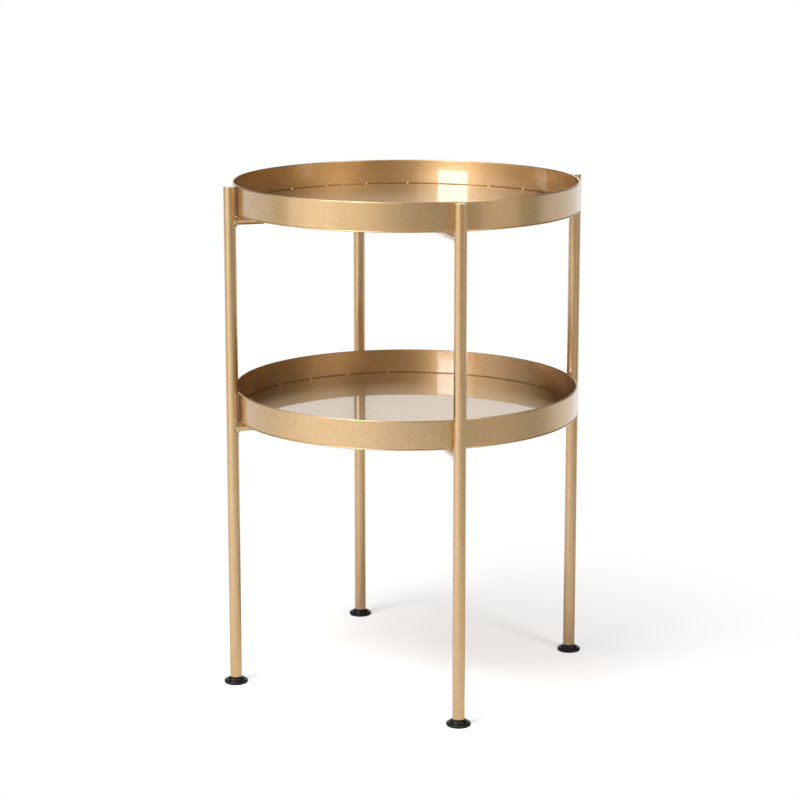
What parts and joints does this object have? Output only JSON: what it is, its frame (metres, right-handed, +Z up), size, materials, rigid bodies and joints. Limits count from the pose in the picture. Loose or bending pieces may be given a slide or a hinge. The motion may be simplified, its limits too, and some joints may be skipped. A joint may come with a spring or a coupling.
{
  "type": "tiered side table",
  "caption": "Round side table of lacquered steel: two shallow trays, one above the other, on slim upright tube legs that stand outside the trays, with levelling feet.",
  "frame": {"origin": "on the floor, under the centre of the trays", "axes": "+Z up along the trays' centre line; the four legs stand on +X, +Y, -X and -Y"},
  "size_m": [0.442, 0.442, 0.585],
  "materials": {
    "gold_lacquer": "satin champagne-gold metallic lacquer on steel",
    "black_plastic": "fine matt moulded nylon",
    "zinc_plated_steel": "bright zinc plate"
  },
  "bodies": {
    "table_frame": {"upper_tray_floor": "gold_lacquer", "upper_tray_band": "gold_lacquer", "upper_tray_tack_welds": "gold_lacquer", "upper_weld_studs": "zinc_plated_steel", "upper_saddle_washers": "zinc_plated_steel", "upper_stud_nuts": "zinc_plated_steel", "upper_arm_plugs": "black_plastic", "upper_arm_right": "gold_lacquer", "upper_arm_back": "gold_lacquer", "upper_arm_left": "gold_lacquer", "upper_arm_front": "gold_lacquer", "lower_tray_floor": "gold_lacquer", "lower_tray_band": "gold_lacquer", "lower_tray_tack_welds": "gold_lacquer", "lower_weld_studs": "zinc_plated_steel", "lower_saddle_washers": "zinc_plated_steel", "lower_stud_nuts": "zinc_plated_steel", "lower_arm_plugs": "black_plastic", "lower_arm_right": "gold_lacquer", "lower_arm_back": "gold_lacquer", "lower_arm_left": "gold_lacquer", "lower_arm_front": "gold_lacquer", "leg_tube_right": "gold_lacquer", "leg_cap_right": "gold_lacquer", "arm_welds_right": "gold_lacquer", "foot_insert_right": "black_plastic", "leg_tube_back": "gold_lacquer", "leg_cap_back": "gold_lacquer", "arm_welds_back": "gold_lacquer", "foot_insert_back": "black_plastic", "leg_tube_left": "gold_lacquer", "leg_cap_left": "gold_lacquer", "arm_welds_left": "gold_lacquer", "foot_insert_left": "black_plastic", "leg_tube_front": "gold_lacquer", "leg_cap_front": "gold_lacquer", "arm_welds_front": "gold_lacquer", "foot_insert_front": "black_plastic"},
    "foot_pad_body_right": {"foot_pad_right": "black_plastic"},
    "foot_screw_right": {"foot_stud_right": "zinc_plated_steel", "foot_hub_right": "black_plastic"},
    "foot_pad_body_back": {"foot_pad_back": "black_plastic"},
    "foot_screw_back": {"foot_stud_back": "zinc_plated_steel", "foot_hub_back": "black_plastic"},
    "foot_pad_body_left": {"foot_pad_left": "black_plastic"},
    "foot_screw_left": {"foot_stud_left": "zinc_plated_steel", "foot_hub_left": "black_plastic"},
    "foot_pad_body_front": {"foot_pad_front": "black_plastic"},
    "foot_screw_front": {"foot_stud_front": "zinc_plated_steel", "foot_hub_front": "black_plastic"}
  },
  "joints": [
    {"name": "foot_height_right", "type": "slide", "parent": "table_frame", "child": "foot_pad_body_right", "axis": [0, 0, -1], "range_m": [0, 0.008]},
    {"name": "foot_turn_right", "type": "hinge", "parent": "foot_pad_body_right", "child": "foot_screw_right", "pos_m": [0.2073, 0, 0], "axis": [0, 0, -1], "range_deg": [0, 2880]},
    {"name": "foot_height_back", "type": "slide", "parent": "table_frame", "child": "foot_pad_body_back", "axis": [0, 0, -1], "range_m": [0, 0.008]},
    {"name": "foot_turn_back", "type": "hinge", "parent": "foot_pad_body_back", "child": "foot_screw_back", "pos_m": [0, 0.2073, 0], "axis": [0, 0, -1], "range_deg": [0, 2880]},
    {"name": "foot_height_left", "type": "slide", "parent": "table_frame", "child": "foot_pad_body_left", "axis": [0, 0, -1], "range_m": [0, 0.008]},
    {"name": "foot_turn_left", "type": "hinge", "parent": "foot_pad_body_left", "child": "foot_screw_left", "pos_m": [-0.2073, 0, 0], "axis": [0, 0, -1], "range_deg": [0, 2880]},
    {"name": "foot_height_front", "type": "slide", "parent": "table_frame", "child": "foot_pad_body_front", "axis": [0, 0, -1], "range_m": [0, 0.008]},
    {"name": "foot_turn_front", "type": "hinge", "parent": "foot_pad_body_front", "child": "foot_screw_front", "pos_m": [0, -0.2073, 0], "axis": [0, 0, -1], "range_deg": [0, 2880]}
  ],
  "couplings": [
    {"joint": "foot_turn_right", "follows": "foot_height_right", "rad_per_m": 6283.2},
    {"joint": "foot_turn_back", "follows": "foot_height_back", "rad_per_m": 6283.2},
    {"joint": "foot_turn_left", "follows": "foot_height_left", "rad_per_m": 6283.2},
    {"joint": "foot_turn_front", "follows": "foot_height_front", "rad_per_m": 6283.2}
  ]
}
